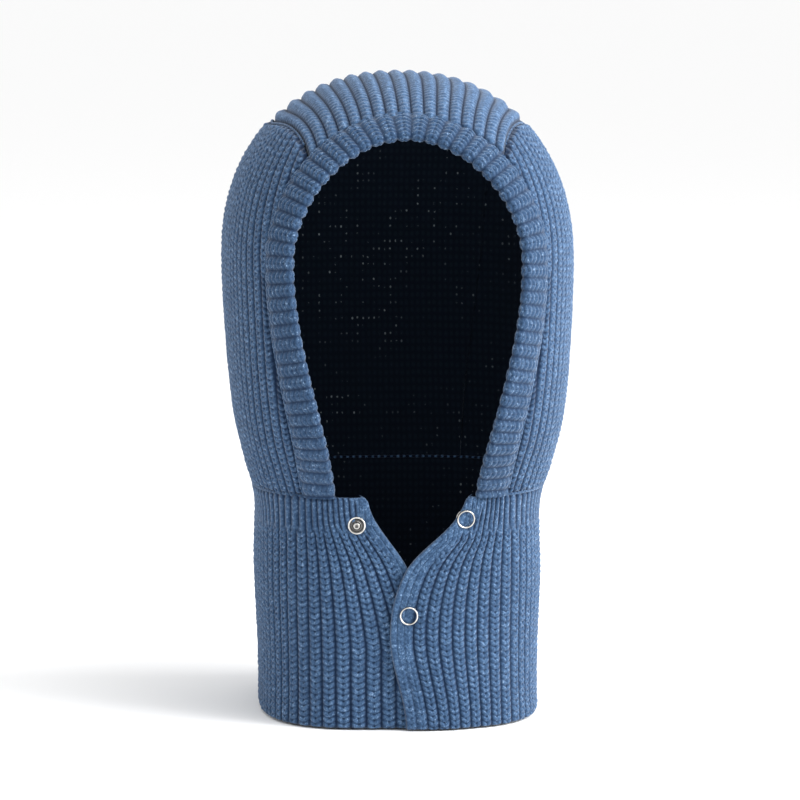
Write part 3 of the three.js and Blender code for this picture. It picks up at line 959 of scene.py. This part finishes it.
def seams():
    degrees = np.linspace(48, 228, 700)
    for side, word in ((1, "left"), (-1, "right")):
        for layer, material, slot in (("crown", knitBlue, "seam_thread"), ("lining", navyKnit, "lining")):
            radius, depth = yarn[layer]
            angle, z = fanPoint(fanHalf(degrees), degrees)
            clear = (pastBand(angle, z) > 0.01) & (z > neck + mm)
            path = onSkin(angle, z, 0 * z - depth)[clear]
            path[:, 0] *= side
            seam(f"{layer}Seam{word.title()}", f"{layer}_seam_{word}", path, radius, material, slot)
    angle = np.linspace(yarn["neckStart"], 2 * math.pi - yarn["neckStart"], 900)
    z = neck + 0 * angle
    radius, depth = yarn["neck"]
    seam("neckSeam", "neck_seam", onSkin(angle, z, 0 * z - depth), radius, knitBlue, "seam_thread")
    radius, depth = yarn["liningNeck"]
    path = onSkin(angle, z, 0 * z - depth)
    seam("liningNeckSeam", "lining_neck_seam", path, radius, seamLightDots, "lining", True)
    share = np.linspace(0.02, 0.98, 900)
    angle, z = bandWalk(share, np.full(len(share), hood["bandWidth"] + yarn["bandGap"]))
    clear = z > neck + mm
    radius, depth = yarn["band"]
    path = onSkin(angle, z, 0 * z - depth)[clear]
    seam("bandSeam", "band_seam", path, radius, knitBlue, "seam_thread")


# How far each flap's snap halves stand off the surface, and their profiles in millimetres:
# radius, height along the snap's axis, and brightness, which paints shade into the recesses.
snap = {
    "over": {"closed": 2.6 * mm, "open": 1.2 * mm},
    "under": {"closed": -2.0 * mm, "open": -1.0 * mm},
    "ring": {"radius": 4.75, "wire": 0.56, "front": (-0.7, 0.7), "back": (-4.9, -3.5)},
    "socket": [
        (0, -2.7, 0.2), (2.2, -2.7, 0.3), (2.5, -4.1, 0.6), (4.4, -4.1, 1),
        (5.0, -3.7, 1), (5.1, -2.6, 0.9), (4.7, -2.3, 0.8), (0, -2.3, 0.6),
    ],
    "stud": [
        (0, -1.0, 0.5), (5.0, -1.0, 0.6), (5.1, -0.8, 0.8), (5.1, -0.2, 0.9),
        (4.9, 0.15, 1), (4.5, 0.25, 1), (4.1, 0.1, 0.5), (3.7, -0.5, 0.04),
        (2.9, -0.6, 0.04), (2.3, -0.1, 0.25), (1.9, 0.5, 0.6), (1.95, 1.1, 0.9),
        (1.7, 1.5, 1), (1.2, 1.6, 1), (0.8, 1.2, 0.25), (0, 1.0, 0.1),
    ],
}


# A turned piece, set on the surface at a place and facing straight out.
def spun(name, profile, at, offset, body, node):
    made = bmesh.new()
    layer = made.verts.layers.float.new("relief")
    verts = [made.verts.new((r * mm, 0, h * mm)) for r, h, _ in profile]
    for vert, (_, _, tone) in zip(verts, profile):
        vert[layer] = tone
    edges = [made.edges.new(pair) for pair in zip(verts, verts[1:])]
    bmesh.ops.spin(made, geom=verts + edges, cent=(0, 0, 0), axis=(0, 0, 1), angle=2 * math.pi,
                   steps=48, use_merge=True)
    bmesh.ops.remove_doubles(made, verts=made.verts, dist=1e-6)
    bmesh.ops.recalc_face_normals(made, faces=made.faces)
    x, z = (np.array([value]) for value in at)
    angle = frontAngle(x, z)
    foot = Vector(onSkin(angle, z, np.array([offset]))[0])
    out = Vector(slopes(angle, z)[2][0])
    turn = Vector((0, 0, 1)).rotation_difference(out).to_matrix().to_4x4()
    bmesh.ops.transform(made, matrix=Matrix.Translation(foot) @ turn, verts=made.verts)
    piece = makePiece(made, name, nickel)
    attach(piece, body)
    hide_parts(node)


def ringProfile(low, high):
    middle, half = (low + high) / 2, (high - low) / 2
    profile = []
    for turn in np.linspace(0, 2 * math.pi, 17):
        radius = snap["ring"]["radius"] + snap["ring"]["wire"] * math.cos(turn)
        # Painted shade: darker on the wire's inner and outer sides, bright at its front and back.
        profile.append((radius, middle + half * math.sin(turn), 0.3 + 0.7 * math.sin(turn) ** 2))
    return profile


def snapPairs():
    front, back = ringProfile(*snap["ring"]["front"]), ringProfile(*snap["ring"]["back"])
    halves = (
        ("SnapRing", "snap_ring", front, "over"), ("SnapSocket", "snap_socket", snap["socket"], "over"),
        ("SnapStud", "snap_stud", snap["stud"], "under"), ("SnapBackRing", "snap_back_ring", back, "under"),
    )
    for name, state, places in (
        ("lower", "closed", {"over": closedSnap, "under": closedSnap}),
        ("upper", "open", {"over": openRing, "under": openStud}),
    ):
        for part, node, profile, word in halves:
            lift = snap[word][state]
            spun(f"{name}{part}", profile, places[word], lift, f"{word}_flap_body", f"{name}_{node}")


# The camera's place in degrees and metres, and the width that it takes in at the aim.
view = {
    "azimuth": -3.5,
    "elevation": 6.5,
    "distance": 2.35,
    "frameWidth": 0.465,
    "aim": (0.0025, 0.0, 0.1755),
}


def camera():
    data = bpy.data.cameras.new("camera")
    data.sensor_width = 36
    data.lens = 36 * view["distance"] / view["frameWidth"]
    eye = bpy.data.objects.new("camera", data)
    azimuth, elevation = math.radians(view["azimuth"]), math.radians(view["elevation"])
    aim = Vector(view["aim"])
    level = math.cos(elevation)
    away = Vector((math.sin(azimuth) * level, -math.cos(azimuth) * level, math.sin(elevation)))
    eye.location = aim + away * view["distance"]
    eye.rotation_euler = (-away).to_track_quat("-Z", "Y").to_euler()
    bpy.context.scene.collection.objects.link(eye)
    bpy.context.scene.camera = eye


# Each lamp's place, power and size, and the paper and the sky round the hood.
room = {
    "key": ((1.9, -0.7, 1.2), 84, 1.8),
    "top": ((0.5, -0.5, 1.5), 9, 0.8),
    "lampAim": (0, 0, 0.2),
    "paper": (0.96, 0.96, 0.96, 1),
    "sky": (1, 1, 1, 1),
}


def areaLight(name):
    place, power, size = room[name]
    data = bpy.data.lights.new(name, "AREA")
    data.energy = power
    data.size = size
    lamp = bpy.data.objects.new(name, data)
    lamp.location = place
    lamp.rotation_euler = (Vector(room["lampAim"]) - Vector(place)).to_track_quat("-Z", "Y").to_euler()
    bpy.context.scene.collection.objects.link(lamp)


def studio():
    material, _ = newMaterial(
        "floorPaper", Roughness=0.9, Specular_IOR_Level=0.1, Base_Color=room["paper"],
    )
    made = bmesh.new()
    bmesh.ops.create_grid(made, x_segments=1, y_segments=1, size=30)
    floor = makePiece(made, "floor", material)
    floor.location.z = -1 * mm
    world = bpy.data.worlds.new("studio")
    world.use_nodes = True
    sky = world.node_tree.nodes["Background"]
    sky.inputs["Color"].default_value = room["sky"]
    sky.inputs["Strength"].default_value = 1
    bpy.context.scene.world = world
    areaLight("key")
    areaLight("top")
    bpy.context.scene.view_settings.view_transform = "Standard"


camera()
studio()
print("studio ready")
sidePanels()
crownPanel()
collar()
flaps()
faceBand()
liningPieces()
print("sheets ready")
seams()
print("seams ready")
snapPairs()
print("snaps ready")
